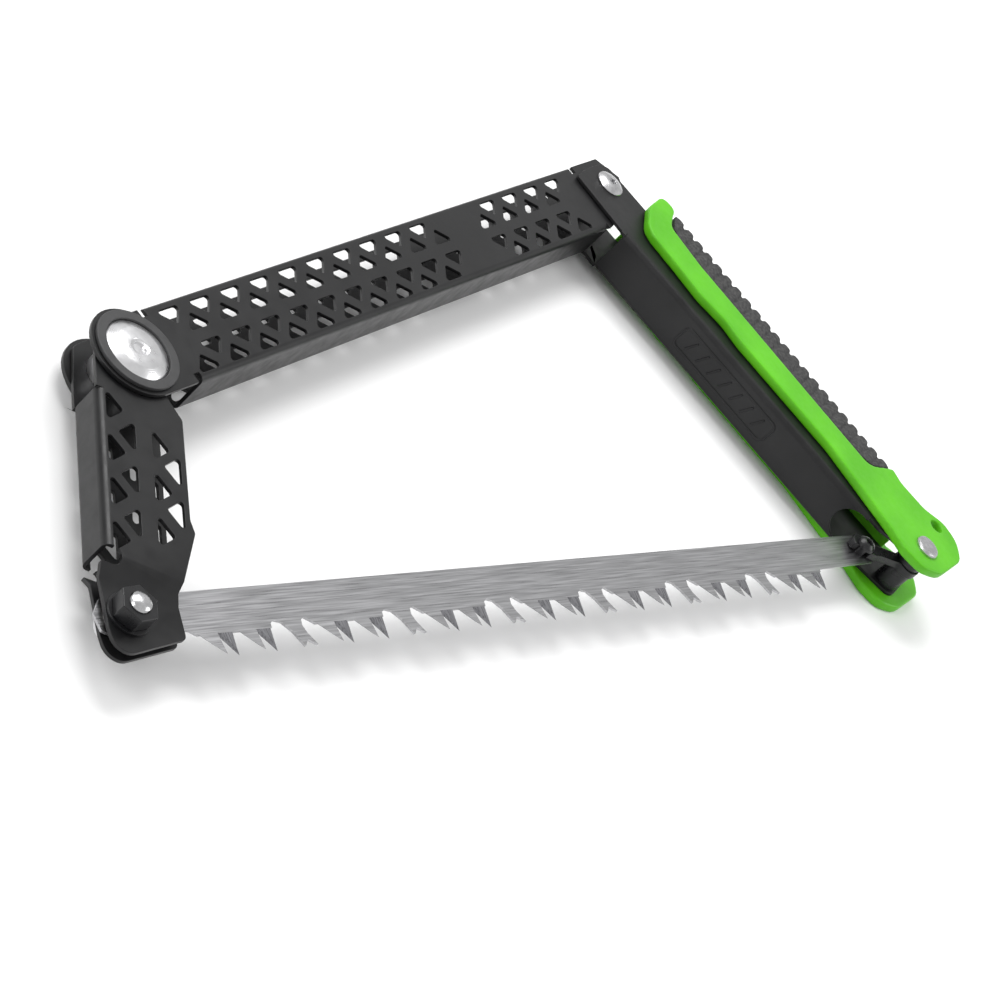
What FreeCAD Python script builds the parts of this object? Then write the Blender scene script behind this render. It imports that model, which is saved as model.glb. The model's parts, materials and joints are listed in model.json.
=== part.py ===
"""Folding bow saw: a perforated steel frame of two channel arms and a channel handle, hinged in
one plane, which holds a toothed blade.

The saw lies flat on its back side.  X runs along the blade towards the handle, Y runs from the
blade towards the top arm and Z is up, out of the saw's front side.  The origin lies under the
middle of the saw, level with its lowest point.

Each piece is drawn standing in its own frame: u along the piece is that frame's X, v across it is
Z, and Y points to the back side.  Its Placement turns it about its hinge and lays it down.
"""
import FreeCAD
import Part
import math
import os
from FreeCAD import Placement, Rotation, Vector

doc = FreeCAD.newDocument("BowSaw")
sheet = doc.addObject("Spreadsheet::Sheet", "Dimensions")

DIMENSIONS = {
    # hinge points of the frame
    "knee_x": -145.4, "knee_y": 4.5,
    "elbow_x": 121.0, "elbow_y": 77.8,
    "toe_x": -188.7, "toe_y": -73.2,
    "heel_x": 154.3, "heel_y": -72.2,
    # direction of each piece, in degrees from +X towards +Y
    "top_angle": 15.385, "short_angle": -116.25, "handle_angle": -69.0,
    # sheet metal
    "sheet_gauge": 1.2, "bend_radius": 2.2,
    "top_width": 14.8, "short_width": 11.8, "handle_width": 17.6, "toe_width": 5.0,
    # top arm
    "top_upper": 11.4, "top_lower": 14.4, "knee_ear": 14.4, "top_web_start": 17.0,
    "top_web_end": 259.0, "edge_radius": 1.0, "truss_pitch": 14.85,
    # short arm
    "short_outer": 12.5, "short_inner": 14.7, "short_web_start": 17.0, "short_web_end": 71.0,
    "short_end": 103.5, "jog_start": 74.0, "jog_end": 80.0,
    # handle channel
    "handle_inner": 16.2, "handle_outer": 8.0, "handle_web_start": 18.0, "handle_web_end": 137.0,
    "handle_end": 172.0,
    # grip
    "rail_proud": 3.6, "slot_width": 7.0,
    "grip_start": 22.6, "grip_end": 138.4, "rib_pitch": 5.2,
    # blade
    "blade_gauge": 0.8, "blade_spine": 6.6, "blade_root": 6.4, "tooth_depth": 6.5,
    "tooth_module": 44.0, "first_tooth": 28.8, "blade_tail": 8.5,
    # pivots
    "cap_radius": 10.2, "barrel_radius": 8.0, "ring_radius": 13.2, "screw_radius": 5.4,
    "rivet_radius": 4.6, "rivet_u": 166.8, "rivet_w": -6.1, "lanyard_u": 164.5,
    "lanyard_w": 11.4, "lanyard_radius": 2.6, "shaft_radius": 3.0, "pin_radius": 2.0,
    "running_gap": 0.05, "hook_gauge": 3.0,
}
for row, (alias, value) in enumerate(DIMENSIONS.items(), start=1):
    sheet.set("A%d" % row, alias)
    sheet.set("B%d" % row, str(value))
    sheet.setAlias("B%d" % row, alias)
doc.recompute()


def cell(alias):
    """The number that the sheet holds under an alias."""
    return float(sheet.get(alias))


def bind(feature, prop, formula):
    """Binds a property to a formula of sheet aliases, each written with a leading $."""
    feature.setExpression(prop, formula.replace("$", "Dimensions."))


# ---------------------------------------------------------------- drawing helpers

def frame_of(hinge_x, hinge_y, degrees):
    """Placement of a piece drawn about its hinge: turned to its direction and laid on its back."""
    half_thickness = cell("handle_width") / 2 + cell("rail_proud")
    laid = Placement(Vector(hinge_x, hinge_y, half_thickness), Rotation(Vector(1, 0, 0), -90))
    return laid.multiply(Placement(Vector(), Rotation(Vector(0, -1, 0), degrees)))


def rounded(points, radius=0.0, radii=None):
    """Closed outline through points, each corner rounded by its radius, as sketch geometry."""
    count = len(points)
    corners = []
    for i, (x, y) in enumerate(points):
        r = radii[i] if radii else radius
        here = Vector(x, y, 0)
        before = Vector(*points[i - 1], 0)
        after = Vector(*points[(i + 1) % count], 0)
        to_before = (before - here).normalize()
        to_after = (after - here).normalize()
        if r <= 0:
            corners.append((here, None, here))
            continue
        half = to_before.getAngle(to_after) / 2
        reach = r / math.tan(half)
        middle = (to_before + to_after).normalize()
        centre = here + middle * (r / math.sin(half))
        corners.append((here + to_before * reach, centre - middle * r, here + to_after * reach))
    geometry = []
    for i, (start, mid, end) in enumerate(corners):
        if mid is not None:
            geometry.append(Part.Arc(start, mid, end))
        following = corners[(i + 1) % count][0]
        if (following - end).Length > 1e-6:
            geometry.append(Part.LineSegment(end, following))
    return geometry


def circle(x, y, radius):
    return [Part.Circle(Vector(x, y, 0), Vector(0, 0, 1), radius)]


def box_outline(x0, y0, x1, y1, radius=0.0):
    return rounded([(x0, y0), (x1, y0), (x1, y1), (x0, y1)], radius)


def new_body(label, placement=None):
    body = doc.addObject("PartDesign::Body", label)
    body.Label = label
    if placement:
        body.Placement = placement
    return body


def new_sketch(body, role, geometry, offset=0.0):
    """A sketch on one of the body's origin planes, moved along that plane's normal."""
    sketch = body.newObject("Sketcher::SketchObject", body.Label + "_sketch")
    plane = [f for f in body.Origin.OriginFeatures if f.Role == role][0]
    sketch.AttachmentSupport = [(plane, "")]
    sketch.MapMode = "FlatFace"
    sketch.AttachmentOffset = Placement(Vector(0, 0, offset), Rotation())
    sketch.addGeometry(geometry, False)
    return sketch


def pad(body, geometry, formula, role="XZ_Plane", midplane=True, offset=0.0, reverse=False):
    feature = body.newObject("PartDesign::Pad", body.Label + "_pad")
    feature.Profile = new_sketch(body, role, geometry, offset)
    bind(feature, "Length", formula)
    feature.Midplane = midplane
    feature.Reversed = reverse
    doc.recompute()
    return feature


def pocket(body, geometry, formula, role="XZ_Plane", midplane=True, offset=0.0, reverse=False):
    """A pocket that must remove something: the volume before and after is compared."""
    before = body.Shape.Volume
    feature = body.newObject("PartDesign::Pocket", body.Label + "_pocket")
    feature.Profile = new_sketch(body, role, geometry, offset)
    bind(feature, "Length", formula)
    feature.Midplane = midplane
    feature.Reversed = reverse
    doc.recompute()
    if not body.Shape.Volume < before - 1e-3:
        raise RuntimeError("a pocket of %s cuts nothing" % body.Label)
    return feature


def revolve(body, points):
    """Turned piece: a closed outline of (radius, y) points, turned about the body's Y axis."""
    sketch = new_sketch(body, "XY_Plane", rounded(points))
    feature = body.newObject("PartDesign::Revolution", body.Label + "_turned")
    feature.Profile = sketch
    axis = [f for f in body.Origin.OriginFeatures if f.Role == "Y_Axis"][0]
    feature.ReferenceAxis = (axis, [""])
    feature.Angle = 360
    doc.recompute()
    return feature


def bend_corners(half_width, edge, inward, radius):
    """What a rounded bend leaves out of the square corners at y = +-half_width and v = edge, drawn in
    the YZ plane; inward is the sense of v towards the metal."""
    geometry = []
    for side in (-1, 1):
        y = side * half_width
        beyond = 1.0
        tangent_y = Vector(y - side * radius, edge, 0)
        tangent_v = Vector(y, edge + inward * radius, 0)
        centre = Vector(y - side * radius, edge + inward * radius, 0)
        middle = centre + Vector(side, -inward, 0).normalize() * radius
        geometry.append(Part.Arc(tangent_y, middle, tangent_v))
        run = [tangent_v, Vector(y + side * beyond, edge + inward * radius, 0),
               Vector(y + side * beyond, edge - inward * beyond, 0),
               Vector(y - side * radius, edge - inward * beyond, 0), tangent_y]
        geometry += [Part.LineSegment(a, b) for a, b in zip(run, run[1:])]
    return geometry


# ---------------------------------------------------------------- frames of the pieces

KNEE = (cell("knee_x"), cell("knee_y"))
ELBOW = (cell("elbow_x"), cell("elbow_y"))
TOE = (cell("toe_x"), cell("toe_y"))
HEEL = (cell("heel_x"), cell("heel_y"))
TOP_FRAME = frame_of(*KNEE, cell("top_angle"))
SHORT_FRAME = frame_of(*KNEE, cell("short_angle"))
HANDLE_FRAME = frame_of(*ELBOW, cell("handle_angle"))
BLADE_FRAME = frame_of(*TOE, math.degrees(math.atan2(HEEL[1] - TOE[1], HEEL[0] - TOE[0])))


def local(frame, point):
    """A point (x, y) of the saw in a piece's own (u, v) frame."""
    p = frame.inverse().multVec(Vector(*point, 0))
    return p.x, p.z


def place_at(frame, u, v, degrees=0.0):
    """Placement of a turned piece whose axis crosses a piece's frame at (u, v)."""
    return frame.multiply(Placement(Vector(u, 0, v), Rotation(Vector(0, -1, 0), degrees)))


ARM_LENGTH = math.dist(KNEE, ELBOW)
BLADE_LENGTH = math.dist(TOE, HEEL)
SHORT_TOE = local(SHORT_FRAME, TOE)
GAUGE = cell("sheet_gauge")


# ---------------------------------------------------------------- perforated arms

def truss_holes(first_down, first_up, base, height, pitch, numbers_down, numbers_up, corner=0.9):
    """One truss row of triangular holes: those that point down hang from base, those that point up
    stand on base - height.  numbers say which places of the row are pierced."""
    half = height * 1.02
    holes = []
    for n in numbers_down:
        u = first_down + n * pitch
        holes += rounded([(u - half, base), (u + half, base), (u, base - height)], corner)
    for n in numbers_up:
        u = first_up + n * pitch
        low = base - height * 1.6
        holes += rounded([(u - half, low), (u + half, low), (u, low + height)], corner)
    return holes


def top_arm_outline():
    """Side outline of the top arm: a round ear at the knee and a slanted end at the elbow."""
    ear = cell("knee_ear")
    upper = cell("top_upper")
    lower = -cell("top_lower")
    end = ARM_LENGTH
    meet = math.sqrt(ear ** 2 - upper ** 2)
    outline = [Part.Arc(Vector(0, lower, 0), Vector(-ear, 0, 0), Vector(meet, upper, 0))]
    run = [(meet, upper), (end + 6.5, upper), (end + 12.0, 2.0), (end + 4.0, -10.0),
           (end - 15.0, lower), (0, lower)]
    for start, stop in zip(run, run[1:]):
        outline.append(Part.LineSegment(Vector(*start, 0), Vector(*stop, 0)))
    return outline


def make_top_arm():
    body = new_body("top_arm", TOP_FRAME)
    pad(body, top_arm_outline(), "$top_width")
    upper = cell("top_upper")
    start = cell("top_web_start")
    end = cell("top_web_end")
    lower = -cell("top_lower")
    # the inside, open above; the web stays between the two ears
    inside = [(-30, -30), (start, -30), (start, lower + GAUGE), (end, lower + GAUGE), (end, -30),
              (ARM_LENGTH + 30, -30), (ARM_LENGTH + 30, 30), (-30, 30)]
    pocket(body, rounded(inside), "$top_width - 2 * $sheet_gauge")
    # relief notches beside the knee and the elbow, then the rounded bends and upper edges
    notches = box_outline(start - 5.4, upper - 2.6, start - 3.0, upper + 9, 0.0)
    notches += box_outline(end + 3.0, upper - 2.6, end + 5.4, upper + 2, 0.0)
    notches += box_outline(start - 2.6, lower - 2, start, lower + 2.8, 0.0)
    pocket(body, notches, "$top_width + 10")
    half = cell("top_width") / 2
    pocket(body, bend_corners(half, lower, 1, cell("bend_radius")),
           "$top_web_end - $top_web_start", role="YZ_Plane", midplane=False, offset=start,
           reverse=True)
    pocket(body, bend_corners(half, upper, -1, cell("edge_radius")),
           "$top_web_end - $top_web_start + 6", role="YZ_Plane", midplane=False,
           offset=start - 3.0, reverse=True)
    pitch = cell("truss_pitch")
    holes = truss_holes(23.2, 30.6, 9.2, 5.5, pitch, [*range(10), 12, 13, 14, 15],
                        [*range(10), 11, 12, 13, 14])
    holes += truss_holes(30.4, 22.5, -3.4, 5.5, pitch, [*range(10), 11, 12, 13, 14],
                         [*range(10), 12, 13, 14, 15])
    pocket(body, holes, "$top_width + 10")
    # bores: the cap's at the knee, the pivot screw's at the elbow
    pocket(body, circle(0, 0, cell("cap_radius") + cell("running_gap")), "$top_width + 10")
    pocket(body, circle(ARM_LENGTH, 0, cell("shaft_radius") + cell("running_gap")),
           "$top_width + 10")
    return body


def short_arm_outline():
    outer = -cell("short_outer")
    inner = cell("short_inner")
    end = cell("short_end")
    web = cell("short_web_end")
    points = [(-12.0, -6.0), (-6.0, -12.0), (8.0, outer), (web, outer), (web, outer + 5.0),
              (web + 5.0, outer + 5.0), (web + 5.0, outer - 0.6), (jog_end() + 6, outer + 0.8),
              (end - 9.0, outer + 2.0), (end, -8.0), (end - 14.0, inner - 1.5),
              (jog_end(), 11.4), (jog_end() - 3.0, 10.4), (56.0, 16.0), (52.0, inner),
              (17.0, inner), (9.0, 9.0), (-6.0, 10.0), (-12.0, 4.0)]
    radii = [3.0, 4.0, 4.0, 0.0, 2.0, 2.0, 0.0, 4.0, 6.0, 5.0, 2.0, 2.0, 1.0, 2.0, 4.0, 2.0, 3.0,
             4.0, 4.0]
    return rounded(points, radii=radii)


def jog_end():
    return cell("jog_end")


def short_arm_plan():
    """Plan of the two side plates: mirrored closed bands that step in towards the blade at the
    jog."""
    wide = cell("short_width") / 2
    narrow = cell("toe_width") / 2
    start = cell("jog_start")
    stop = cell("jog_end")
    end = cell("short_end") + 1
    bands = []
    for side in (-1, 1):
        band = [(-20, side * wide), (start, side * wide), (stop, side * narrow),
                (end, side * narrow), (end, side * (narrow - GAUGE)),
                (stop - 0.6, side * (narrow - GAUGE)), (start - 0.6, side * (wide - GAUGE)),
                (-20, side * (wide - GAUGE))]
        bands += rounded(band)
    return bands


def make_short_arm():
    """The side plates are padded across the arm, joined by the web, and trimmed to the side
    outline."""
    body = new_body("short_arm", SHORT_FRAME)
    outer = -cell("short_outer")
    web_block = box_outline(cell("short_web_start"), outer, cell("short_web_end"), outer + GAUGE)
    pad(body, web_block, "$short_width")
    pad(body, short_arm_plan(), "60", role="XY_Plane")
    trim = box_outline(-60, -60, 160, 60) + short_arm_outline()
    pocket(body, trim, "$short_width + 10")
    corners = bend_corners(cell("short_width") / 2, outer, 1, cell("bend_radius"))
    pocket(body, corners, "$short_web_end - $short_web_start", role="YZ_Plane", midplane=False,
           offset=cell("short_web_start"), reverse=True)
    pitch = cell("truss_pitch")
    holes = truss_holes(21.5, 30.2, 13.0, 5.5, pitch, range(1, 3), range(1, 3))
    holes += truss_holes(30.4, 22.5, -1.0, 5.5, pitch, range(0, 3), range(0, 4))
    holes += truss_holes(21.5, 30.2, 13.0, 5.5, pitch, [], [0])
    pocket(body, holes, "$short_width + 10")
    gap = cell("running_gap")
    pocket(body, circle(0, 0, cell("barrel_radius") + gap), "$short_width + 10")
    pocket(body, circle(*SHORT_TOE, cell("shaft_radius") + gap), "$short_width + 10")
    return body



# ---------------------------------------------------------------- handle

def make_handle_channel():
    body = new_body("handle_channel", HANDLE_FRAME)
    inner = -cell("handle_inner")
    outer = cell("handle_outer")
    start = cell("handle_web_start")
    end = cell("handle_web_end")
    last = cell("handle_end")
    side = [(-8.3, -13.8), (start - 2, inner + 0.4), (start - 2, inner), (151.0, inner),
            (156.0, -14.0), (last, -11.0), (last, outer), (-5.0, outer), (-8.0, 5.0),
            (-9.0, -6.0)]
    pad(body, rounded(side, radii=[1.5, 0, 0.5, 3, 3, 4, 4, 3, 3, 3]), "$handle_width")
    inside = [(-30, -40), (start, -40), (start, inner + GAUGE), (end + 9, inner + GAUGE),
              (end + 9, -40), (last + 20, -40), (last + 20, 40), (-30, 40)]
    pocket(body, rounded(inside), "$handle_width - 2 * $sheet_gauge")
    corners = bend_corners(cell("handle_width") / 2, inner, 1, cell("bend_radius"))
    pocket(body, corners, "$handle_web_end - $handle_web_start + 9", role="YZ_Plane",
           midplane=False, offset=start, reverse=True)
    # the web ends in a round cut-out where the blade comes in
    pocket(body, circle(end + 7.4, 0, 7.2), "20", role="XY_Plane", offset=inner)
    gap = cell("running_gap")
    bores = circle(0, 0, cell("shaft_radius") + gap)
    bores += circle(cell("rivet_u"), cell("rivet_w"), cell("shaft_radius") + gap)
    pocket(body, bores, "$handle_width + 10")
    return body


def make_grip_rail(side, name):
    """Moulded rail along one flange, with a hooked tip, a shoulder behind the pad and a lobe at
    the heel.  side is -1 in front and 1 behind."""
    body = new_body("grip_rail_" + name, HANDLE_FRAME)
    outline = [(14.0, 18.6), (14.6, 6.0), (21.0, -6.6), (38.0, -7.8), (51.0, -9.2), (63.0, -7.8),
               (72.0, -9.4), (119.0, -9.6), (141.0, -13.4), (155.0, -15.8), (162.0, -18.0),
               (171.0, -17.0), (177.0, -10.0), (179.0, 8.0), (174.0, 15.0), (166.0, 17.6),
               (157.0, 13.4), (145.0, 13.0), (139.6, 15.2), (133.0, 3.0), (100.0, 3.8),
               (42.0, 5.4), (25.0, 8.0), (20.6, 19.0)]
    radii = [3, 8, 8, 20, 8, 8, 8, 20, 20, 10, 6, 8, 10, 6, 8, 8, 8, 8, 1.5, 6, 30, 20, 4, 2.5]
    half = cell("handle_width") / 2
    gap = cell("running_gap")
    outside = half + cell("rail_proud")
    inside = cell("slot_width") / 2
    middle = side * (inside + outside) / 2
    pad(body, rounded(outline, radii=radii),
        "$handle_width / 2 + $rail_proud - $slot_width / 2", offset=-middle)
    # room for the flange, which ends at outer, and for the blade's end at the heel
    outer = cell("handle_outer") + gap
    room = [(-20, -40), (200, -40), (200, 40), (158.0, 40), (158.0, outer), (-20, outer)]
    pocket(body, rounded(room), "$handle_width + 0.1")
    bores = circle(cell("rivet_u"), cell("rivet_w"), cell("shaft_radius") + gap)
    bores += circle(cell("lanyard_u"), cell("lanyard_w"), cell("lanyard_radius"))
    pocket(body, bores, "$handle_width + 20")
    if side > 0:
        # the rivet's cap is sunk in the back lobe
        pocket(body, circle(cell("rivet_u"), cell("rivet_w"), cell("rivet_radius") + 0.3), "1.8",
               midplane=False, offset=-outside, reverse=True)
    return body


def ribbed_edge(start, stop, level_start, level_stop, pitch, rise):
    """A scalloped line of shallow arcs from start to stop, one arc to each rib."""
    count = round((stop - start) / pitch)
    step = (stop - start) / count
    edge = []
    for n in range(count):
        u0 = start + n * step
        w0 = level_start + (level_stop - level_start) * n / count
        w1 = level_start + (level_stop - level_start) * (n + 1) / count
        crest = Vector(u0 + step / 2, (w0 + w1) / 2 + rise, 0)
        edge.append(Part.Arc(Vector(u0, w0, 0), crest, Vector(u0 + step, w1, 0)))
    return edge


def make_palm_pad(side, name):
    """Soft ribbed pad on the palm side of one rail.  The slot between the two pads stays open."""
    body = new_body("palm_pad_" + name, HANDLE_FRAME)
    start = cell("grip_start")
    stop = cell("grip_end")
    edge = ribbed_edge(start, stop, 17.2, 14.0, cell("rib_pitch"), 1.1)
    run = [(stop, 14.0), (stop, 13.4), (135.4, 8.4), (133.0, 5.6), (129.0, 4.1), (100.0, 4.2),
           (42.0, 5.9), (30.0, 7.8), (26.2, 9.8), (24.6, 12.6), (start, 17.0), (start, 17.2)]
    outline = edge + [Part.LineSegment(Vector(*a, 0), Vector(*b, 0)) for a, b in zip(run, run[1:])]
    outside = (cell("handle_width") + 2 * cell("rail_proud") - 1.2) / 2
    middle = side * (cell("slot_width") / 2 + outside) / 2
    pad(body, outline, "($handle_width + 2 * $rail_proud - 1.2 - $slot_width) / 2",
        offset=-middle)
    room = box_outline(0, -20, 200, cell("handle_outer") + cell("running_gap"))
    pocket(body, room, "$handle_width + 0.1")
    return body


# ---------------------------------------------------------------- blade

def tooth_module(tip_u):
    """Points of one module of the blade's edge, from the first cutting tooth's long flank to the
    gullet behind the raker.  tip_u is the first tooth's tip."""
    root = -cell("blade_root")
    tip = root - cell("tooth_depth")
    cutters = [(-6.4, root), (0.0, tip), (0.4, root - 0.3), (0.8, root - 0.3), (5.7, tip),
               (6.3, root - 0.3), (8.4, root - 0.3), (14.1, tip), (14.5, root - 0.3),
               (14.9, root - 0.3), (19.9, tip), (20.6, root - 0.5)]
    return [(tip_u + u, v) for u, v in cutters]


def raker_module(tip_u):
    """Points of the gullets and the swallow-tailed raker between two sets of cutting teeth."""
    root = -cell("blade_root")
    tip = root - cell("tooth_depth") + 0.2
    raker = [(21.0, root + 1.4), (22.6, root + 2.3), (25.2, root + 1.5), (27.6, root - 1.5),
             (29.7, tip), (31.6, tip + 1.8), (34.5, tip), (32.6, root - 2.6), (32.1, root - 0.2),
             (32.8, root + 1.7), (34.4, root + 2.3)]
    return [(tip_u + u, v) for u, v in raker]


def make_blade():
    body = new_body("blade", BLADE_FRAME)
    spine = cell("blade_spine")
    root = -cell("blade_root")
    tail = cell("blade_tail")
    module = cell("tooth_module")
    first = cell("first_tooth")
    sets = 7
    edge = [(first - 8.8, root + 1.6)]
    for n in range(sets):
        edge += tooth_module(first + n * module)
        if n < sets - 1:
            edge += raker_module(first + n * module)
    toothed_end = first + (sets - 1) * module + 20.6
    edge += [(toothed_end, root + 1.2), (BLADE_LENGTH + tail - 3.5, root + 1.6),
             (BLADE_LENGTH + tail, root + 5.0), (BLADE_LENGTH + tail, spine - 4.0),
             (BLADE_LENGTH + tail - 4.0, spine), (4.0 - tail, spine), (-tail, spine - 4.0),
             (-tail, root + 4.0), (4.0 - tail, root + 1.6)]
    pad(body, rounded(edge), "$blade_gauge")
    gap = cell("running_gap")
    pocket(body, circle(0, 0, cell("shaft_radius") + gap)
           + circle(BLADE_LENGTH, 0, cell("pin_radius")), "$blade_gauge + 4")
    return body


def make_tension_hook():
    """Flat claw bar on the heel rivet.  Its mouth opens down, past the blade's pin."""
    rivet = HANDLE_FRAME.multVec(Vector(cell("rivet_u"), 0, cell("rivet_w")))
    reach = math.dist(HEEL, (rivet.x, rivet.y))
    angle = math.degrees(math.atan2(HEEL[1] - rivet.y, HEEL[0] - rivet.x))
    body = new_body("tension_hook", frame_of(rivet.x, rivet.y, angle))
    mouth = cell("pin_radius") + 0.15
    front = (cell("blade_gauge") + cell("hook_gauge")) / 2 + 0.3
    pad(body, circle(0, 0, 5.2), "$hook_gauge", offset=front)
    arc = Part.Arc(Vector(reach + mouth, 0, 0), Vector(reach, -mouth, 0),
                   Vector(reach - mouth, 0, 0))
    run = [(reach - mouth, 0), (reach - mouth, 2.6), (reach - 5.0, 2.6), (reach - 8.0, 2.0),
           (0, 2.0), (0, -2.4), (reach - 6.0, -2.4), (reach - 2.0, -4.6), (reach + 2.6, -4.6),
           (reach + 4.8, -2.4), (reach + 4.8, 0.3), (reach + mouth, 0.3), (reach + mouth, 0)]
    bar = [arc] + [Part.LineSegment(Vector(*a, 0), Vector(*b, 0)) for a, b in zip(run, run[1:])]
    pad(body, bar, "$hook_gauge", offset=front)
    pocket(body, circle(0, 0, cell("shaft_radius") + cell("running_gap")), "$hook_gauge + 2",
           offset=front)
    return body


# ---------------------------------------------------------------- turned pieces and fasteners

def turned(label, placement, points):
    """A turned piece of (radius, y) points, its axis through the placement's origin."""
    body = new_body(label, placement)
    revolve(body, points)
    return body


def ring(label, placement, inner, outer, y0, y1):
    return turned(label, placement, [(inner, y0), (outer, y0), (outer, y1), (inner, y1)])


def domed(radius, y_seat, y_top, y_end, shaft):
    """Half section of a round-headed pin: head from y_seat to y_top, shaft on to y_end."""
    out = 1 if y_top > y_seat else -1
    rise = abs(y_top - y_seat)
    return [(0, y_top), (radius * 0.62, y_top), (radius - 0.3, y_seat + out * rise * 0.5),
            (radius, y_seat + out * rise * 0.3), (radius, y_seat), (shaft, y_seat),
            (shaft, y_end), (0, y_end)]


def make_knee_pieces():
    """Knee hinge: a wide barrel from behind, a cap screwed into it in front, two raised rings on
    the top arm's ears and two thin washers between the plates."""
    half = cell("top_width") / 2
    plate = half - GAUGE
    short_half = cell("short_width") / 2
    cap = cell("cap_radius")
    barrel = cell("barrel_radius")
    gap = cell("running_gap")
    front = -(half + 1.9)
    dish = [(3.0, front + 1.2), (3.0, front + 0.5), (6.2, front + 0.5), (6.6, front),
            (cap - 1.0, front), (cap, front + 0.7), (cap, -plate - gap), (barrel, -plate - gap),
            (barrel, -0.5), (0, -0.5), (0, front + 1.2)]
    pieces = [turned("knee_cap", TOP_FRAME, dish)]
    back = half + 1.9
    boss = [(0, -0.45), (barrel, -0.45), (barrel, plate + gap), (cap, plate + gap),
            (cap, back - 0.7), (cap - 1.0, back), (3.0, back), (3.0, back - 2.2),
            (0, back - 2.2)]
    pieces.append(turned("knee_barrel", TOP_FRAME, boss))
    pieces.append(turned("knee_screw", TOP_FRAME,
                         [(0, back - 2.15), (2.9, back - 2.15), (2.9, back - 0.4), (1.5, back - 0.4),
                          (1.5, back - 1.4), (0, back - 1.4)]))
    for name, side in (("front", -1), ("back", 1)):
        pieces.append(ring("knee_ring_" + name, TOP_FRAME, cap + gap, cell("ring_radius"),
                           *sorted((side * half, side * (half + 1.2)))))
        pieces.append(ring("knee_washer_" + name, TOP_FRAME, barrel + gap, 11.6,
                           *sorted((side * (short_half + gap), side * (plate - 2 * gap)))))
    return pieces


def make_elbow_pieces():
    """Elbow hinge: a binding screw and its barrel through the handle's ears and the top arm."""
    half = cell("handle_width") / 2
    radius = cell("screw_radius")
    shaft = cell("shaft_radius")
    thread = 1.8
    bored = domed(radius, half, half + 2.0, -half, shaft)[:-1]
    bored += [(thread, -half), (thread, -half + 9.0), (0, -half + 9.0)]
    barrel = turned("elbow_barrel", HANDLE_FRAME, bored)
    screw = turned("elbow_screw", HANDLE_FRAME,
                   [(0, -half - 1.2), (1.3, -half - 1.2), (1.3, -half - 2.0),
                    (radius * 0.62, -half - 2.0), (radius - 0.3, -half - 1.0),
                    (radius, -half - 0.6), (radius, -half - 0.01),
                    (thread - 0.05, -half - 0.01), (thread - 0.05, -half + 8.5),
                    (0, -half + 8.5)])
    return [barrel, screw]


def make_toe_pieces():
    """Toe pivot: bolt, washer and nut through the short arm's toe, and two spacers that hold the
    blade midway."""
    half = cell("toe_width") / 2
    shaft = cell("shaft_radius")
    at_toe = place_at(SHORT_FRAME, *SHORT_TOE)
    gap = cell("running_gap")
    pieces = [ring("toe_washer", at_toe, shaft + gap, 6.4, -half - 0.9, -half)]
    bolt = turned("toe_bolt", at_toe,
                  [(0, half + 3.2), (4.4, half + 3.2), (5.4, half + 2.4), (5.4, half),
                   (shaft, half), (shaft, -half - 6.6), (shaft - 0.7, -half - 7.3),
                   (0, -half - 7.3)])
    nut = new_body("toe_nut", at_toe)
    hexagon = [(5.9 * math.cos(k * math.pi / 3), 5.9 * math.sin(k * math.pi / 3))
               for k in range(6)]
    pad(nut, rounded(hexagon), "4.8", offset=half + 0.9 + 2.4)
    pocket(nut, circle(0, 0, shaft + gap), "20", offset=half + 3.3)
    pieces += [bolt, nut]
    inner = cell("blade_gauge") / 2 + 0.08
    for name, side in (("front", -1), ("back", 1)):
        pieces.append(ring("toe_spacer_" + name, at_toe, shaft + gap, 5.6,
                           *sorted((side * inner, side * (half - GAUGE)))))
    return pieces


def make_heel_pieces():
    """Heel: the rivet through the handle's end with its cap and two spacers beside the hook, and
    the shouldered pin in the blade."""
    at_rivet = place_at(HANDLE_FRAME, cell("rivet_u"), cell("rivet_w"))
    half = cell("handle_width") / 2
    outside = half + cell("rail_proud")
    shaft = cell("shaft_radius")
    radius = cell("rivet_radius")
    gap = cell("running_gap")
    sunk = outside - 1.75
    pieces = [turned("heel_rivet", at_rivet,
                     domed(radius, -outside, -outside - 1.6, sunk, shaft)),
              turned("heel_rivet_cap", at_rivet,
                     [(0, sunk + 0.01), (radius, sunk + 0.01), (radius, sunk + 0.6),
                      (radius - 1.2, sunk + 1.5), (0, sunk + 1.5)])]
    inside = half - GAUGE
    hook_back = -cell("blade_gauge") / 2 - 0.3
    hook_front = hook_back - cell("hook_gauge")
    pieces.append(ring("heel_spacer_front", at_rivet, shaft + gap, 4.6, -inside + gap,
                       hook_front - gap))
    pieces.append(ring("heel_spacer_back", at_rivet, shaft + gap, 4.6, hook_back + gap,
                       inside - gap))
    pin = cell("pin_radius")
    back = cell("blade_gauge") / 2
    pieces.append(turned("blade_pin", place_at(BLADE_FRAME, BLADE_LENGTH, 0),
                         [(0, back + 1.4), (2.6, back + 1.4), (3.3, back + 0.7), (3.3, back),
                          (pin, back), (pin, hook_front - 0.25), (3.4, hook_front - 0.25),
                          (3.4, hook_front - 0.9), (2.2, hook_front - 2.0), (0, hook_front - 2.4)]))
    return pieces


# ---------------------------------------------------------------- the whole saw

pieces = [make_top_arm(), make_short_arm(), make_handle_channel(), make_blade(),
          make_tension_hook()]
for name, side in (("front", -1), ("back", 1)):
    pieces.append(make_grip_rail(side, name))
    pieces.append(make_palm_pad(side, name))
pieces += make_knee_pieces()
pieces += make_elbow_pieces()
pieces += make_toe_pieces()
pieces += make_heel_pieces()
doc.recompute()

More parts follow.
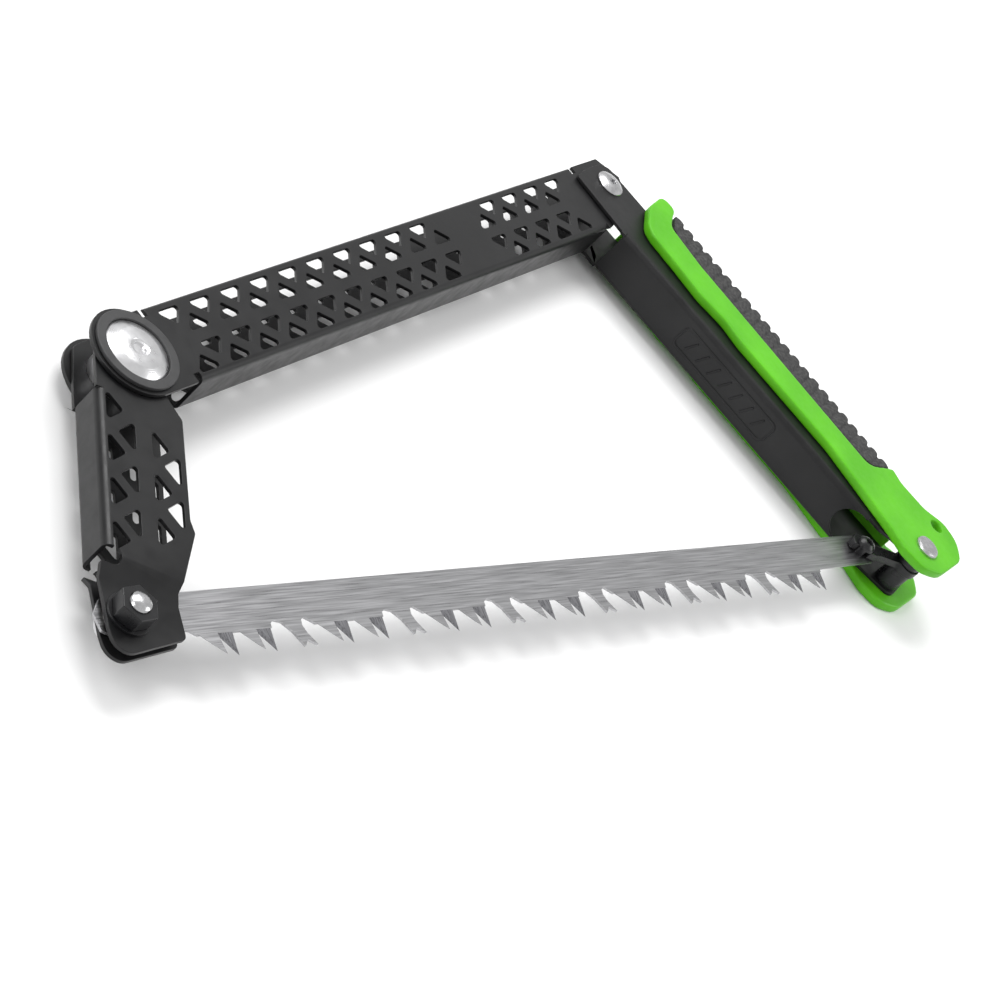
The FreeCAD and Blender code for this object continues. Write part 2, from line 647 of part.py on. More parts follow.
failed = [o.Label for o in doc.Objects if "Invalid" in o.State or "Error" in o.State]
if failed:
    raise RuntimeError("failed objects: %s" % failed)
os.makedirs("parts", exist_ok=True)
for piece in pieces:
    shape = piece.Shape
    if shape.isNull() or not shape.isValid() or not shape.Solids:
        raise RuntimeError("%s has no valid solid" % piece.Label)
    shape.exportStep("parts/%s.step" % piece.Label)
    box = shape.BoundBox
    print("%-18s solids %d volume %9.1f  x %.1f..%.1f y %.2f..%.2f z %.1f..%.1f"
          % (piece.Label, len(shape.Solids), shape.Volume, box.XMin, box.XMax, box.YMin,
             box.YMax, box.ZMin, box.ZMax))
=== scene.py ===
"""Looks of the folding bow saw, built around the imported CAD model.

The saw lies flat on its back side.  Each CAD node is either replaced by a finished mesh made from
its own vertices or built anew on the places that the CAD model gives.
"""
import json
import math

import bmesh
import bpy
from mathutils import Euler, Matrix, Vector


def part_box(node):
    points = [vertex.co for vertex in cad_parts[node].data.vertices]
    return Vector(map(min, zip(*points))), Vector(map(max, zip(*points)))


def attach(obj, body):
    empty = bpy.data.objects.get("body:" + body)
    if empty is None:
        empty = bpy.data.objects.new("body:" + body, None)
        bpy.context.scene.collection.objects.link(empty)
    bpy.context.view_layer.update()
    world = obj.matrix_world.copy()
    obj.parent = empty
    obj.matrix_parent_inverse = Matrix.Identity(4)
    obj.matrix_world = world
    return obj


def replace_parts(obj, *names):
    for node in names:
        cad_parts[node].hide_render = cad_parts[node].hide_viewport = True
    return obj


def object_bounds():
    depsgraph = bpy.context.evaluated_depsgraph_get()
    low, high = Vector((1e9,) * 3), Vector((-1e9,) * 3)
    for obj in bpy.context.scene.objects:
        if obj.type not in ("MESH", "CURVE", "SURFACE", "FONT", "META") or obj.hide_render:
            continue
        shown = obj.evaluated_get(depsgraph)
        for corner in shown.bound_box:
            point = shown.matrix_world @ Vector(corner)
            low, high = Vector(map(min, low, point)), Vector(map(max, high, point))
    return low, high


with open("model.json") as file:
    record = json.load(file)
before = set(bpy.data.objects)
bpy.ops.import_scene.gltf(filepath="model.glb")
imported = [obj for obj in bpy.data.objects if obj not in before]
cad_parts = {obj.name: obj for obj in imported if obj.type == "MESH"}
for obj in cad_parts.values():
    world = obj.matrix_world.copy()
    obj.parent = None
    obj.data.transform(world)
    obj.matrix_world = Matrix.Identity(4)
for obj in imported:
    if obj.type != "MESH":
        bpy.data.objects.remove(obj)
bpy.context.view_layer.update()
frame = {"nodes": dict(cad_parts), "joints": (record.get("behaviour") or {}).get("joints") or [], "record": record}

MM = 0.001
NODES = frame["nodes"]
SLOT_OF = {part["node"]: part["material_slot"] for part in frame["record"]["subparts"]}
BODY_OF = {node: body for body, nodes in frame["record"]["behaviour"]["bodies"].items()
           for node in nodes}
PIVOT = {joint["name"]: Vector(joint["pos_m"]) for joint in frame["joints"] if "pos_m" in joint}

# the direction of the handle, in degrees from +X towards +Y, as in the CAD model
HANDLE_ANGLE = -69.0


def centre_of(node):
    low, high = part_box(node)
    return (Vector(low) + Vector(high)) / 2


def top_of(node):
    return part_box(node)[1][2]


# ---------------------------------------------------------------- shader helpers

def new_material(name, colour, roughness, metallic=0.0):
    """A Principled material and its shader node."""
    material = bpy.data.materials.new(name)
    material.use_nodes = True
    shader = material.node_tree.nodes["Principled BSDF"]
    shader.inputs["Base Color"].default_value = (*colour, 1)
    shader.inputs["Roughness"].default_value = roughness
    shader.inputs["Metallic"].default_value = metallic
    return material, shader


def add_node(material, kind, **settings):
    """A shader node with the given properties."""
    node = material.node_tree.nodes.new(kind)
    for key, value in settings.items():
        setattr(node, key, value)
    return node


def link(material, source, output, target, socket):
    material.node_tree.links.new(source.outputs[output], target.inputs[socket])


def noise(material, scale, detail=4.0, stretch=(1, 1, 1), turn=0.0, centre=(0, 0, 0)):
    """Noise in metres of the object's own space, stretched along its axes after a turn about Z."""
    place = add_node(material, "ShaderNodeTexCoord")
    mapping = add_node(material, "ShaderNodeMapping", vector_type="TEXTURE")
    mapping.inputs["Location"].default_value = centre
    mapping.inputs["Rotation"].default_value = (0, 0, turn)
    mapping.inputs["Scale"].default_value = stretch
    link(material, place, "Object", mapping, "Vector")
    texture = add_node(material, "ShaderNodeTexNoise")
    texture.inputs["Scale"].default_value = scale
    texture.inputs["Detail"].default_value = detail
    link(material, mapping, "Vector", texture, "Vector")
    return texture


def ramp(material, source, output, low, high, start=0.35, stop=0.65):
    """Colour ramp from low to high over a texture's output."""
    node = add_node(material, "ShaderNodeValToRGB")
    node.color_ramp.elements[0].position = start
    node.color_ramp.elements[1].position = stop
    node.color_ramp.elements[0].color = (*low, 1)
    node.color_ramp.elements[1].color = (*high, 1)
    link(material, source, output, node, "Fac")
    return node


def spread(material, source, output, low, high):
    """A texture's middle range mapped to low..high."""
    node = add_node(material, "ShaderNodeMapRange")
    node.inputs["From Min"].default_value = 0.3
    node.inputs["From Max"].default_value = 0.7
    node.inputs["To Min"].default_value = low
    node.inputs["To Max"].default_value = high
    link(material, source, output, node, "Value")
    return node


def bump(material, shader, source, output, height, strength=1.0):
    """Bump of a height in metres."""
    node = add_node(material, "ShaderNodeBump")
    node.inputs["Strength"].default_value = strength
    node.inputs["Distance"].default_value = height
    link(material, source, output, node, "Height")
    link(material, node, "Normal", shader, "Normal")
    return node


# ---------------------------------------------------------------- materials

def painted_steel(name, dark, light, roughness):
    """Satin black coat with a fine orange peel and rubbed, slightly paler patches."""
    material, shader = new_material(name, dark, roughness)
    patches = noise(material, 60.0, 5.0)
    tint = ramp(material, patches, "Fac", dark, light)
    link(material, tint, "Color", shader, "Base Color")
    gloss = spread(material, noise(material, 240.0, 3.0), "Fac", roughness - 0.06, roughness + 0.07)
    link(material, gloss, "Result", shader, "Roughness")
    peel = noise(material, 2600.0, 2.0)
    bump(material, shader, peel, "Fac", 0.00001, 0.5)
    shader.inputs["Specular IOR Level"].default_value = 0.3
    return material


def green_plastic():
    """Moulded plastic with a fine spark-eroded texture."""
    dark = (0.082, 0.40, 0.005)
    light = (0.110, 0.49, 0.008)
    material, shader = new_material("green_plastic", light, 0.42)
    shader.inputs["Specular IOR Level"].default_value = 0.3
    clouds = noise(material, 45.0, 4.0)
    link(material, ramp(material, clouds, "Fac", dark, light), "Color", shader, "Base Color")
    gloss = spread(material, noise(material, 500.0, 3.0), "Fac", 0.36, 0.5)
    link(material, gloss, "Result", shader, "Roughness")
    bump(material, shader, noise(material, 3400.0, 3.0), "Fac", 0.00003, 0.6)
    shader.inputs["Subsurface Weight"].default_value = 0.08
    shader.inputs["Subsurface Radius"].default_value = (0.001, 0.002, 0.0004)
    return material


def grip_rubber():
    """Matt grey rubber, speckled and slightly dusty."""
    material, shader = new_material("grip_rubber", (0.06, 0.06, 0.062), 0.8)
    speckle = noise(material, 900.0, 6.0)
    tint = ramp(material, speckle, "Fac", (0.018, 0.018, 0.019), (0.06, 0.059, 0.058), 0.35, 0.72)
    link(material, tint, "Color", shader, "Base Color")
    bump(material, shader, noise(material, 2200.0, 5.0), "Fac", 0.00012, 0.8)
    return material


def brushed_steel(name, colour, roughness, turn, stretch=(40, 1, 1), scale=2200.0):
    """Steel brushed along one direction: streaks in colour, roughness and bump."""
    material, shader = new_material(name, colour, roughness, 1.0)
    streaks = noise(material, scale, 6.0, stretch, turn)
    pale = tuple(min(1.0, c * 1.16) for c in colour)
    dull = tuple(c * 0.78 for c in colour)
    link(material, ramp(material, streaks, "Fac", dull, pale), "Color", shader, "Base Color")
    gloss = spread(material, streaks, "Fac", roughness - 0.08, roughness + 0.1)
    link(material, gloss, "Result", shader, "Roughness")
    bump(material, shader, streaks, "Fac", 0.00002, 0.5)
    return material


def turned_metal(name, centre, pitch=0.0005):
    """Faced metal with fine rings round its axis."""
    material, shader = new_material(name, (0.82, 0.82, 0.83), 0.27, 1.0)
    place = add_node(material, "ShaderNodeTexCoord")
    mapping = add_node(material, "ShaderNodeMapping", vector_type="POINT")
    mapping.inputs["Location"].default_value = (-centre.x, -centre.y, 0)
    mapping.inputs["Scale"].default_value = (1, 1, 0)
    link(material, place, "Object", mapping, "Vector")
    length = add_node(material, "ShaderNodeVectorMath", operation="LENGTH")
    link(material, mapping, "Vector", length, 0)
    wave = add_node(material, "ShaderNodeMath", operation="MULTIPLY")
    wave.inputs[1].default_value = 2 * math.pi / pitch
    link(material, length, "Value", wave, 0)
    rings = add_node(material, "ShaderNodeMath", operation="SINE")
    link(material, wave, "Value", rings, 0)
    bump(material, shader, rings, "Value", 0.000006, 0.7)
    clouds = noise(material, 350.0, 4.0)
    tint = ramp(material, clouds, "Fac", (0.66, 0.66, 0.67), (0.73, 0.73, 0.74))
    link(material, tint, "Color", shader, "Base Color")
    gloss = spread(material, clouds, "Fac", 0.26, 0.34)
    link(material, gloss, "Result", shader, "Roughness")
    return material


def plain_metal(name, colour, roughness):
    """Plated metal with faint smears."""
    material, shader = new_material(name, colour, roughness, 1.0)
    smear = noise(material, 420.0, 5.0)
    dull = tuple(c * 0.8 for c in colour)
    link(material, ramp(material, smear, "Fac", dull, colour), "Color", shader, "Base Color")
    gloss = spread(material, smear, "Fac", roughness - 0.05, roughness + 0.1)
    link(material, gloss, "Result", shader, "Roughness")
    bump(material, shader, noise(material, 3000.0, 2.0), "Fac", 0.000008, 0.5)
    return material


def dull_plastic(name, dark, light, roughness=0.5):
    material, shader = new_material(name, dark, roughness)
    clouds = noise(material, 300.0, 4.0)
    link(material, ramp(material, clouds, "Fac", dark, light), "Color", shader, "Base Color")
    gloss = spread(material, clouds, "Fac", roughness - 0.05, roughness + 0.08)
    link(material, gloss, "Result", shader, "Roughness")
    bump(material, shader, noise(material, 2800.0, 2.0), "Fac", 0.00002, 0.5)
    return material


BLADE_TURN = math.atan2(centre_of("blade_pin").y - PIVOT["blade_swing"].y,
                        centre_of("blade_pin").x - PIVOT["blade_swing"].x)
MATERIALS = {
    "arm_paint": painted_steel("arm_paint", (0.007, 0.007, 0.0075), (0.011, 0.011, 0.0115), 0.36),
    "handle_paint": painted_steel("handle_paint", (0.008, 0.008, 0.0085), (0.012, 0.012, 0.0125), 0.40),
    "green_plastic": green_plastic(),
    "grip_rubber": grip_rubber(),
    "blade_steel": brushed_steel("blade_steel", (0.40, 0.40, 0.41), 0.34, BLADE_TURN),
    "turned_metal": turned_metal("turned_metal", PIVOT["knee_fold"]),
    "plated_steel": plain_metal("plated_steel", (0.60, 0.60, 0.61), 0.24),
    "black_steel": painted_steel("black_steel", (0.008, 0.008, 0.009), (0.014, 0.014, 0.015), 0.30),
    "black_plastic": dull_plastic("black_plastic", (0.022, 0.022, 0.023), (0.034, 0.034, 0.035)),
    "washer_plastic": dull_plastic("washer_plastic", (0.5, 0.49, 0.45), (0.62, 0.61, 0.57)),
}
GROUND_STEEL = brushed_steel("ground_steel", (0.26, 0.26, 0.275), 0.3, BLADE_TURN,
                             (1, 30, 1), 1800.0)


# ---------------------------------------------------------------- mesh helpers

def finish_piece(name, mesh, node, material=None):
    """Links a finished mesh as a piece that stands for a CAD node and rides on its body."""
    piece = bpy.data.objects.new(name, mesh)
    bpy.context.scene.collection.objects.link(piece)
    if not mesh.materials:
        mesh.materials.append(material or MATERIALS[SLOT_OF[node]])
    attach(piece, BODY_OF[node])
    return piece


def welded_copy(node, name):
    """The CAD node's mesh with its seams welded and its flat faces joined."""
    mesh = NODES[node].data.copy()
    mesh.name = name
    mesh.materials.clear()
    for layer in list(mesh.color_attributes):
        mesh.color_attributes.remove(layer)
    work = bmesh.new()
    work.from_mesh(mesh)
    bmesh.ops.remove_doubles(work, verts=work.verts, dist=1e-6)
    bmesh.ops.dissolve_limit(work, angle_limit=math.radians(0.4), verts=work.verts,
                             edges=work.edges, use_dissolve_boundaries=False)
    for face in work.faces:
        face.smooth = True
        face.material_index = 0
    for edge in work.edges:
        edge.smooth = edge.calc_face_angle(0.0) < math.radians(32)
    work.to_mesh(mesh)
    work.free()
    if mesh.has_custom_normals:
        mesh.attributes.remove(mesh.attributes["custom_normal"])
    return mesh


def bevelled(piece, width, segments=2, angle=32):
    modifier = piece.modifiers.new("edges", "BEVEL")
    modifier.width = width
    modifier.segments = segments
    modifier.limit_method = "ANGLE"
    modifier.angle_limit = math.radians(angle)
    modifier.use_clamp_overlap = False
    modifier.harden_normals = True
    return piece


def edged_copy(node, width, segments=2):
    """A CAD node with broken edges."""
    name = node + "_finished"
    piece = finish_piece(name, welded_copy(node, name), node)
    bevelled(piece, width, segments)
    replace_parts(piece, node)
    return piece


def moulded_mesh(node, name, voxel, rounds):
    """A CAD node remeshed finely and relaxed, as moulded parts have soft edges."""
    source = bpy.data.objects.new(name + "_source", welded_copy(node, name + "_source"))
    bpy.context.scene.collection.objects.link(source)
    remesh = source.modifiers.new("voxels", "REMESH")
    remesh.mode = "VOXEL"
    remesh.voxel_size = voxel
    relax = source.modifiers.new("relax", "SMOOTH")
    relax.factor = 0.5
    relax.iterations = rounds
    bpy.context.view_layer.update()
    evaluated = source.evaluated_get(bpy.context.evaluated_depsgraph_get())
    mesh = bpy.data.meshes.new_from_object(evaluated)
    mesh.name = name
    mesh.materials.clear()
    bpy.data.objects.remove(source)
    mesh.polygons.foreach_set("use_smooth", [True] * len(mesh.polygons))
    return mesh


def lathe(name, node, centre, profile, lobes=None, steps=96):
    """Turned piece about a vertical axis.  profile lists (radius, z) in metres from the top centre
    outwards; lobes maps a profile point to (count, depth) of a lobed recess."""
    lobes = lobes or {}
    work = bmesh.new()
    rings = []
    for index, (radius, z) in enumerate(profile):
        if radius < 1e-7:
            rings.append([work.verts.new((centre.x, centre.y, z))])
            continue
        ring = []
        for step in range(steps):
            turn = 2 * math.pi * step / steps
            count, depth = lobes.get(index, (0, 0.0))
            r = radius + depth * math.cos(count * turn)
            ring.append(work.verts.new((centre.x + r * math.cos(turn),
                                        centre.y + r * math.sin(turn), z)))
        rings.append(ring)
    for inner, outer in zip(rings, rings[1:]):
        for step in range(steps):
            after = (step + 1) % steps
            if len(inner) == 1:
                work.faces.new((inner[0], outer[step], outer[after]))
            elif len(outer) == 1:
                work.faces.new((inner[step], outer[0], inner[after]))
            else:
                work.faces.new((inner[step], outer[step], outer[after], inner[after]))
    bmesh.ops.recalc_face_normals(work, faces=work.faces)
    for face in work.faces:
        face.smooth = True
    for edge in work.edges:
        edge.smooth = edge.calc_face_angle(0.0) < math.radians(28)
    mesh = bpy.data.meshes.new(name)
    work.to_mesh(mesh)
    work.free()
    piece = finish_piece(name, mesh, node)
    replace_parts(piece, node)
    return piece


def handle_point(u, w, z):
    """A point of the handle: u along it from the elbow, w outwards, z up."""
    turn = math.radians(HANDLE_ANGLE)
    elbow = PIVOT["elbow_fold"]
    return Vector((elbow.x + u * math.cos(turn) - w * math.sin(turn),
                   elbow.y + u * math.sin(turn) + w * math.cos(turn), z))


def handle_place(point):
    """(u, w) of a point in the handle's own directions."""
    turn = math.radians(HANDLE_ANGLE)
    offset = point - PIVOT["elbow_fold"]
    return (offset.x * math.cos(turn) + offset.y * math.sin(turn),
            -offset.x * math.sin(turn) + offset.y * math.cos(turn))


# ---------------------------------------------------------------- sheet metal and hardware

for node in ("top_arm", "short_arm", "handle_channel"):
    edged_copy(node, 0.16 * MM, 2)
for node in ("tension_hook", "toe_nut", "toe_washer", "heel_rivet_cap", "heel_spacer_front",
             "heel_spacer_back", "toe_spacer_front", "toe_spacer_back", "knee_washer_front",
             "knee_washer_back", "knee_ring_front", "knee_ring_back", "knee_barrel",
             "knee_screw"):
    edged_copy(node, 0.06 * MM if "washer" in node or "spacer" in node else 0.25 * MM, 2)


def make_knee_cap():
    """Faced disc: a flat middle land, a cone down to the rim and a round recess in the centre."""
    top = top_of("knee_cap")
    radius = (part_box("knee_cap")[1][0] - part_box("knee_cap")[0][0]) / 2
    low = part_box("knee_cap")[0][2]
    dip = 0.9 * MM
    profile = [(0.0, top - dip), (1.7 * MM, top - dip), (2.1 * MM, top - 0.3 * MM),
               (2.7 * MM, top - 0.25 * MM), (3.1 * MM, top), (6.7 * MM, top),
               (7.0 * MM, top - 0.15 * MM), (radius - 0.4 * MM, top - 1.2 * MM),
               (radius, top - 1.6 * MM), (radius, low + 5 * MM), (0.0, low + 5 * MM)]
    lathe("knee_cap_finished", "knee_cap", centre_of("knee_cap"), profile)


def make_elbow_hardware():
    """Domed screw with a star drive in front, and its plain barrel behind."""
    centre = centre_of("elbow_screw")
    top = top_of("elbow_screw")
    seat = top_of("elbow_barrel")
    radius = (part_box("elbow_screw")[1][0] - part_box("elbow_screw")[0][0]) / 2
    dome = [(0.0, top - 1.5 * MM), (1.0 * MM, top - 1.5 * MM), (1.25 * MM, top - 0.1 * MM),
            (1.6 * MM, top), (3.0 * MM, top - 0.25 * MM), (4.4 * MM, top - 0.8 * MM),
            (radius - 0.15 * MM, top - 1.25 * MM), (radius, top - 1.5 * MM),
            (radius - 0.1 * MM, seat), (0.0, seat)]
    lathe("elbow_screw_finished", "elbow_screw", centre, dome,
          {1: (6, 0.2 * MM), 2: (6, 0.3 * MM)})
    edged_copy("elbow_barrel", 0.2 * MM, 3)


def make_toe_bolt():
    """Plated bolt: a low head behind, a chamfered thread end in front of the nut."""
    centre = centre_of("toe_bolt")
    low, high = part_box("toe_bolt")
    thread = 2.95 * MM
    pitch = 0.9 * MM
    front = top_of("toe_nut")
    profile = [(0.0, high[2]), (1.7 * MM, high[2] - 0.1 * MM), (2.5 * MM, high[2] - 0.5 * MM)]
    turns = int((high[2] - front - 0.4 * MM) / pitch) + 6
    for turn in range(turns):
        z = high[2] - 0.7 * MM - turn * pitch
        profile += [(thread, z - 0.1 * MM), (thread - 0.45 * MM, z - 0.45 * MM)]
    base = high[2] - 0.7 * MM - turns * pitch
    profile += [(thread, base), (thread, low[2] + 3.2 * MM), (5.4 * MM, low[2] + 3.2 * MM),
                (5.4 * MM, low[2] + 0.8 * MM), (4.4 * MM, low[2]), (0.0, low[2])]
    lathe("toe_bolt_finished", "toe_bolt", centre, profile)


def make_heel_rivet():
    centre = centre_of("heel_rivet")
    low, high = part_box("heel_rivet")
    top = high[2]
    radius = (high[0] - low[0]) / 2
    seat = top - 1.6 * MM
    profile = [(0.0, top), (1.8 * MM, top - 0.02 * MM), (radius - 0.9 * MM, top - 0.12 * MM),
               (radius - 0.3 * MM, top - 0.4 * MM), (radius, top - 0.9 * MM), (radius, seat),
               (3.0 * MM, seat), (3.0 * MM, low[2]), (0.0, low[2])]
    lathe("heel_rivet_finished", "heel_rivet", centre, profile)


def make_blade_pin():
    centre = centre_of("blade_pin")
    low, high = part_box("blade_pin")
    top = high[2]
    neck = top - 2.15 * MM
    foot = low[2]
    profile = [(0.0, top - 1.0 * MM), (1.1 * MM, top - 1.0 * MM), (1.3 * MM, top - 0.1 * MM),
               (1.7 * MM, top), (2.7 * MM, top - 0.45 * MM), (3.3 * MM, top - 1.1 * MM),
               (3.4 * MM, top - 1.5 * MM), (3.4 * MM, neck), (2.0 * MM, neck),
               (2.0 * MM, foot + 1.4 * MM), (3.3 * MM, foot + 1.4 * MM), (3.3 * MM, foot + 0.7 * MM),
               (2.6 * MM, foot), (0.0, foot)]
    lathe("blade_pin_finished", "blade_pin", centre, profile, {1: (6, 0.15 * MM), 2: (6, 0.2 * MM)})


make_knee_cap()
make_elbow_hardware()
make_toe_bolt()
make_heel_rivet()
make_blade_pin()


# ---------------------------------------------------------------- grip

def make_grip_rail(side):
    """Bead-like moulded rail on one flange."""
    node = "grip_rail_" + side
    piece = finish_piece(node + "_finished",
                         moulded_mesh(node, node + "_finished", 0.45 * MM, 16), node)
    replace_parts(piece, node)


def make_palm_pad(side):
    """Soft pad: a groove between neighbouring ribs runs round its back and its outer cheek."""
    node = "palm_pad_" + side
    mesh = moulded_mesh(node, node + "_finished", 0.4 * MM, 3)
    start = 22.6 * MM
    end = 138.4 * MM
    pitch = (end - start) / round((end - start) / (5.2 * MM))
    groove_depth = 0.75 * MM
    groove_width = 0.75 * MM
    cheek = 9.2 * MM
    back = 11.0 * MM
    middle = centre_of("handle_channel").z
    normals = [v.normal.copy() for v in mesh.vertices]
    for vertex, normal in zip(mesh.vertices, normals):
        u, w = handle_place(vertex.co)
        if not start + pitch / 2 < u < end - pitch / 2:
            continue
        if abs(vertex.co.z - middle) <= cheek and w <= back:
            continue
        from_groove = ((u - start) / pitch + 0.5) % 1.0 - 0.5
        away = from_groove * pitch / groove_width
        vertex.co -= normal * groove_depth * math.exp(-away * away)
    mesh.update()
    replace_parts(finish_piece(node + "_finished", mesh, node), node)


for side in ("front", "back"):
    make_grip_rail(side)
    make_palm_pad(side)


def make_web_panel():
    """Raised outline pressed into the handle's web, with slanted ribs inside it."""
    web = -16.2 * MM
    middle = centre_of("handle_channel").z
    start, end = 56 * MM, 102 * MM
    half = 4.4 * MM
    rise = 0.34 * MM
    tube = 0.42 * MM
    path = []
    corner = 2.2 * MM
    for cx, cz, first in ((end - corner, half - corner, 0), (start + corner, half - corner, 90),
                          (start + corner, corner - half, 180), (end - corner, corner - half, 270)):
        for step in range(7):
            turn = math.radians(first + 15 * step)
            path.append((cx + corner * math.cos(turn), cz + corner * math.sin(turn)))
    lines = [(path, True)]
    ribs = 7
    for rib in range(ribs):
        u = start + (end - start) * (rib + 1) / (ribs + 1)
        lines.append(([(u - 1.1 * MM, -half * 0.58), (u + 1.1 * MM, half * 0.58)], False))
    curve = bpy.data.curves.new("web_panel", "CURVE")
    curve.dimensions = "3D"
    curve.bevel_depth = tube
    curve.bevel_resolution = 3
    curve.use_fill_caps = True
    for points, closed in lines:
        spline = curve.splines.new("POLY")
        spline.points.add(len(points) - 1)
        spline.use_cyclic_u = closed
        for point, (u, z) in zip(spline.points, points):
            point.co = (*handle_point(u, web + tube - rise, middle + z), 1)
    curve.materials.append(MATERIALS["handle_paint"])
    piece = bpy.data.objects.new("web_panel", curve)
    bpy.context.scene.collection.objects.link(piece)
    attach(piece, "handle")


make_web_panel()


# ---------------------------------------------------------------- blade

TOOTH_MODULE = 44.0 * MM
FIRST_TIP = 28.8 * MM
SPINE = 6.6 * MM
ROOT = -6.4 * MM
TOOTH_DEPTH = 6.5 * MM
TOOTH_SETS = 7
HALF_GAUGE = 0.4 * MM
# base start, tip, base end of each cutting tooth from the module's first tip, and the side that
# its tip is bent to: 1 is the front
CUTTERS = [(-6.4, 0.0, 0.6, 1), (0.6, 5.7, 6.4, -1), (8.1, 14.1, 14.7, 1), (14.7, 19.9, 20.6, -1)]
RAKER = [(21.0, 1.4), (22.6, 2.3), (25.2, 1.5), (27.6, -1.5), (29.7, -6.3), (31.6, -4.5),
         (34.5, -6.3), (32.6, -2.6), (32.1, -0.2), (32.8, 1.7), (34.4, 2.3)]


def blade_point(u, v, z):
    toe = PIVOT["blade_swing"]
    return Vector((toe.x + u * math.cos(BLADE_TURN) - v * math.sin(BLADE_TURN),
                   toe.y + u * math.sin(BLADE_TURN) + v * math.cos(BLADE_TURN), toe.z + z))


def blade_plate(work, length):
    """The plate: spine, plain ends, the root line under the teeth and the rakers."""
    tail = 8.5 * MM
    edge = [(FIRST_TIP - 8.8 * MM, ROOT + 1.6 * MM)]
    for n in range(TOOTH_SETS):
        tip = FIRST_TIP + n * TOOTH_MODULE
        edge += [(tip - 6.4 * MM, ROOT), (tip + 20.6 * MM, ROOT)]
        if n < TOOTH_SETS - 1:
            edge += [(tip + u * MM, ROOT + v * MM) for u, v in RAKER]
    edge += [(edge[-1][0] + 0.6 * MM, ROOT + 1.2 * MM), (length + tail - 3.5 * MM, ROOT + 1.6 * MM),
             (length + tail, ROOT + 5 * MM), (length + tail, SPINE - 4 * MM),
             (length + tail - 4 * MM, SPINE), (4 * MM - tail, SPINE), (-tail, SPINE - 4 * MM),
             (-tail, ROOT + 4 * MM), (4 * MM - tail, ROOT + 1.6 * MM)]
    front = [work.verts.new(blade_point(u, v, HALF_GAUGE)) for u, v in edge]
    back = [work.verts.new(blade_point(u, v, -HALF_GAUGE)) for u, v in edge]
    work.faces.new(front)
    work.faces.new(list(reversed(back)))
    count = len(edge)
    for i in range(count):
        j = (i + 1) % count
        work.faces.new((front[j], front[i], back[i], back[j]))


def blade_tooth(work, base_start, tip, base_end, side):
    """A peg tooth bent to one side, with both flanks ground back on its inner face."""
    ground = 1.1 * MM
    overlap = 0.25 * MM
    bend = side * 0.45 * MM
    outer = side * HALF_GAUGE
    inner = -side * HALF_GAUGE
    low = ROOT - TOOTH_DEPTH
    plain = [(base_start, ROOT + overlap, outer), (tip, low, outer + bend),
             (base_end, ROOT + overlap, outer)]
    width = base_end - base_start
    shift = min(ground, width * 0.25)
    cut = [(base_start + shift, ROOT + overlap, inner),
           (tip - shift * 0.55, low + 1.9 * MM, inner + bend * 0.75),
           (base_end - shift * 0.45, ROOT + overlap, inner)]
    a = [work.verts.new(blade_point(*p)) for p in plain]
    b = [work.verts.new(blade_point(*p)) for p in cut]
    faces = [work.faces.new(a), work.faces.new(list(reversed(b)))]
    for i in range(3):
        j = (i + 1) % 3
        face = work.faces.new((a[j], a[i], b[i], b[j]))
        if i < 2:
            face.material_index = 1
        faces.append(face)
    if side < 0:
        faces[1].material_index = 1
    bmesh.ops.recalc_face_normals(work, faces=faces)


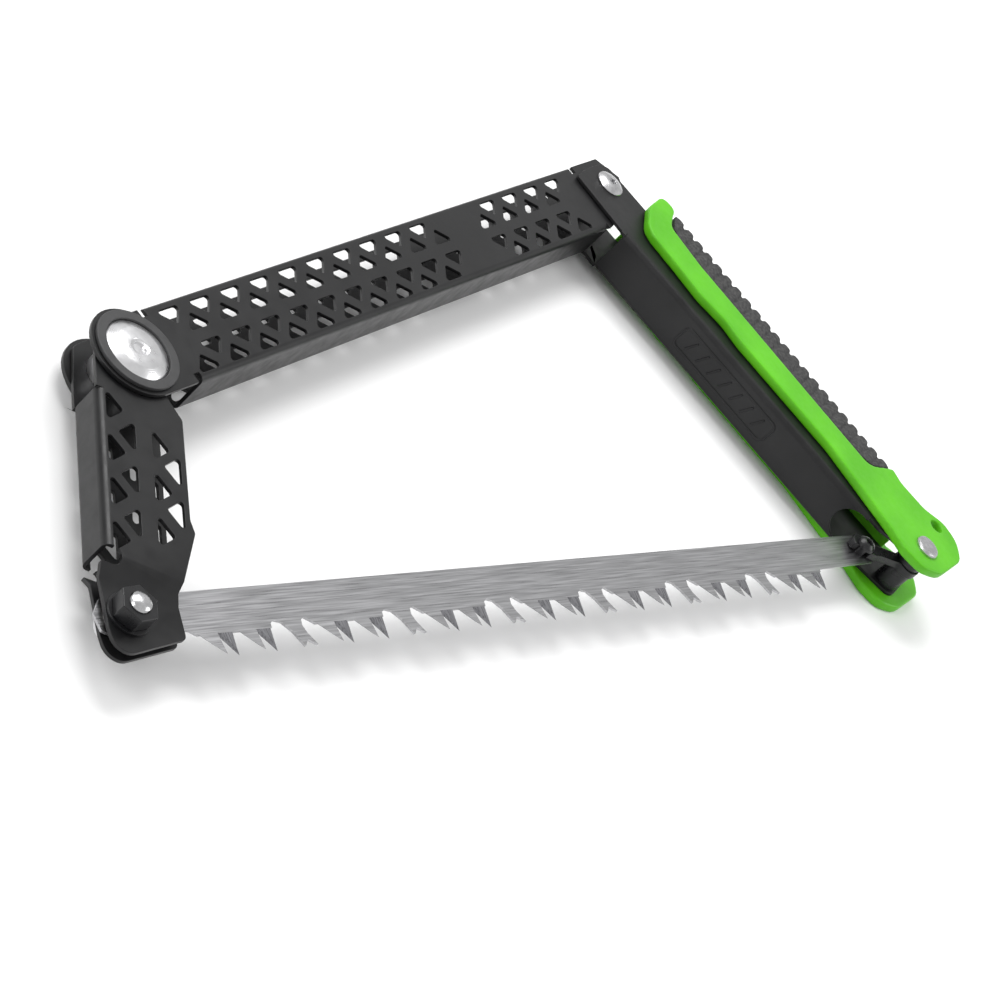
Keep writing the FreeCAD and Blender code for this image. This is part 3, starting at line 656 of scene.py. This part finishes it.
def make_blade():
    length = (centre_of("blade_pin").xy - PIVOT["blade_swing"].xy).length
    work = bmesh.new()
    blade_plate(work, length)
    bmesh.ops.recalc_face_normals(work, faces=work.faces)
    for n in range(TOOTH_SETS):
        for base_start, tip, base_end, side in CUTTERS:
            first = FIRST_TIP + n * TOOTH_MODULE
            blade_tooth(work, first + base_start * MM, first + tip * MM, first + base_end * MM,
                        side)
    mesh = bpy.data.meshes.new("blade_finished")
    work.to_mesh(mesh)
    work.free()
    mesh.materials.append(MATERIALS["blade_steel"])
    mesh.materials.append(GROUND_STEEL)
    piece = finish_piece("blade_finished", mesh, "blade")
    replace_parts(piece, "blade")


make_blade()


# ---------------------------------------------------------------- studio

def make_floor():
    mesh = bpy.data.meshes.new("floor")
    size = 6.0
    mesh.from_pydata([(-size, -size, 0), (size, -size, 0), (size, size, 0), (-size, size, 0)], [],
                     [(0, 1, 2, 3)])
    floor = bpy.data.objects.new("floor", mesh)
    floor.location.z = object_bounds()[0][2] - 0.0002
    bpy.context.scene.collection.objects.link(floor)
    material = new_material("floor", (0.9, 0.9, 0.9), 0.9)[0]
    mesh.materials.append(material)


def make_light(name, place, target, size, power):
    data = bpy.data.lights.new(name, "AREA")
    data.shape = "RECTANGLE"
    data.size, data.size_y = size
    data.energy = power
    light = bpy.data.objects.new(name, data)
    light.location = place
    light.rotation_euler = (Vector(target) - Vector(place)).to_track_quat("-Z", "Y").to_euler()
    bpy.context.scene.collection.objects.link(light)


def make_studio():
    world = bpy.data.worlds.new("studio")
    world.use_nodes = True
    background = world.node_tree.nodes["Background"]
    background.inputs["Color"].default_value = (1, 1, 1, 1)
    background.inputs["Strength"].default_value = 0.72
    bpy.context.scene.world = world
    make_light("softbox_high", (0.1, 0.9, 1.3), (0, 0, 0), (1.2, 0.7), 18)
    make_light("softbox_left", (-1.2, 0.3, 0.7), (0, 0, 0), (0.5, 0.9), 6)
    make_light("softbox_right", (1.0, -0.7, 0.9), (0, 0, 0), (0.6, 0.6), 5)


def make_camera():
    """The camera stands left of the saw, looks down on it and is rolled about its view."""
    data = bpy.data.cameras.new("camera")
    data.sensor_width = 36.0
    data.lens = 102.96
    data.clip_start = 0.01
    camera = bpy.data.objects.new("camera", data)
    camera.location = (-0.6789, -0.3286, 0.4674)
    camera.rotation_euler = Euler([math.radians(a) for a in (46.56, -38.953, -35.893)])
    bpy.context.scene.collection.objects.link(camera)
    bpy.context.scene.camera = camera


make_floor()
make_studio()
make_camera()
bpy.context.scene.view_settings.view_transform = "Standard"
bpy.context.view_layer.update()
